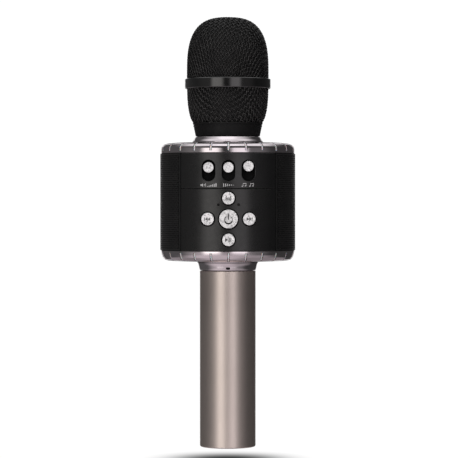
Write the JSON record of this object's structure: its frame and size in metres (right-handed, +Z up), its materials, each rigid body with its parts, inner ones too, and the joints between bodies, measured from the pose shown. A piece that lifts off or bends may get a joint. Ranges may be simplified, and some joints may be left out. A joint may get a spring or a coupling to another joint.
{
  "type": "karaoke microphone",
  "caption": "Handheld karaoke microphone: domed wire grille, loudspeaker drum with sliders and buttons between two plated bezels, and a round metal handle.",
  "frame": {"origin": "centre of the flat base of the handle", "axes": "+Z up along the handle to the top of the grille; the controls face -Y; +X is to the right of someone facing the controls"},
  "size_m": [0.0818, 0.0828, 0.26],
  "materials": {
    "mesh_black": "satin",
    "band_black": "gloss",
    "body_black": "satin",
    "panel_black": "satin",
    "rose_metal": "polished",
    "champagne": "satin",
    "silver": "satin",
    "light_guide": "gloss",
    "board_green": "satin",
    "foam": "matte",
    "rubber": "matte",
    "steel": "satin",
    "paper": "matte",
    "cell_wrap": "gloss",
    "lead_red": "satin"
  },
  "bodies": {
    "main_body": {"speaker_grille": "mesh_black", "neck_post": "body_black", "capsule_stem": "body_black", "front_housing": "body_black", "rear_housing": "body_black", "end_cap": "body_black", "handle_spigot": "body_black", "audio_jack": "body_black", "battery_holder": "body_black", "slider_panel": "panel_black", "button_panel": "panel_black", "upper_bezel": "rose_metal", "lower_bezel": "rose_metal", "neck_ring": "rose_metal", "lower_collar": "rose_metal", "handle_tube": "champagne", "upper_light_guide": "light_guide", "lower_light_guide": "light_guide", "left_indicator": "light_guide", "right_indicator": "light_guide", "upper_led_board": "board_green", "lower_led_board": "board_green", "control_board": "board_green", "port_board": "board_green", "capsule_mount": "rubber", "left_speaker_surround": "rubber", "right_speaker_surround": "rubber", "mic_lead": "rubber", "port_cable": "rubber", "mic_capsule": "steel", "handle_set_screw": "steel", "usb_socket": "steel", "card_slot": "steel", "end_cap_screw_1": "steel", "end_cap_screw_2": "steel", "left_speaker_basket": "steel", "right_speaker_basket": "steel", "left_speaker_magnet": "steel", "right_speaker_magnet": "steel", "battery_cell": "cell_wrap", "battery_lead": "lead_red"},
    "head_lift": {"foam_liner": "foam"},
    "head_grille": {"grille_dome": "mesh_black", "grille_band": "band_black", "grille_basket": "mesh_black", "head_collar": "body_black"},
    "volume_slider": {"volume_knob": "silver", "volume_carriage": "body_black"},
    "echo_slider": {"echo_knob": "silver", "echo_carriage": "body_black"},
    "music_slider": {"music_knob": "silver", "music_carriage": "body_black"},
    "power_key": {"power_button": "silver"},
    "mode_key": {"mode_button": "silver"},
    "play_key": {"play_button": "silver"},
    "previous_key": {"previous_button": "silver"},
    "next_key": {"next_button": "silver"},
    "left_cone": {"left_speaker_cone": "paper"},
    "right_cone": {"right_speaker_cone": "paper"}
  },
  "joints": [
    {"name": "head_lift_slide", "type": "slide", "parent": "main_body", "child": "head_lift", "axis": [0, 0, 1], "range_m": [0, 0.007]},
    {"name": "head_twist", "type": "hinge", "parent": "head_lift", "child": "head_grille", "pos_m": [0, 0, 0.19], "axis": [0, 0, 1], "range_deg": [0, 1262]},
    {"name": "volume_slide", "type": "slide", "parent": "main_body", "child": "volume_slider", "axis": [0, 0, 1], "range_m": [-0.0042, 0.0007]},
    {"name": "echo_slide", "type": "slide", "parent": "main_body", "child": "echo_slider", "axis": [0, 0, 1], "range_m": [-0.0042, 0.0007]},
    {"name": "music_slide", "type": "slide", "parent": "main_body", "child": "music_slider", "axis": [0, 0, 1], "range_m": [-0.0049, 0]},
    {"name": "power_press", "type": "slide", "parent": "main_body", "child": "power_key", "axis": [0, 1, 0], "range_m": [0, 0.0006], "stiffness_N_per_m": 800},
    {"name": "mode_press", "type": "slide", "parent": "main_body", "child": "mode_key", "axis": [0, 1, 0], "range_m": [0, 0.0006], "stiffness_N_per_m": 800},
    {"name": "play_press", "type": "slide", "parent": "main_body", "child": "play_key", "axis": [0, 1, 0], "range_m": [0, 0.0006], "stiffness_N_per_m": 800},
    {"name": "previous_press", "type": "slide", "parent": "main_body", "child": "previous_key", "axis": [0, 1, 0], "range_m": [0, 0.0006], "stiffness_N_per_m": 800},
    {"name": "next_press", "type": "slide", "parent": "main_body", "child": "next_key", "axis": [0, 1, 0], "range_m": [0, 0.0006], "stiffness_N_per_m": 800},
    {"name": "left_cone_travel", "type": "slide", "parent": "main_body", "child": "left_cone", "axis": [1, 0, 0], "range_m": [-0.0006, 0.0006], "stiffness_N_per_m": 1500},
    {"name": "right_cone_travel", "type": "slide", "parent": "main_body", "child": "right_cone", "axis": [1, 0, 0], "range_m": [-0.0006, 0.0006], "stiffness_N_per_m": 1500}
  ],
  "couplings": [
    {"joint": "head_twist", "follows": "head_lift_slide", "rad_per_m": 3141.6}
  ]
}
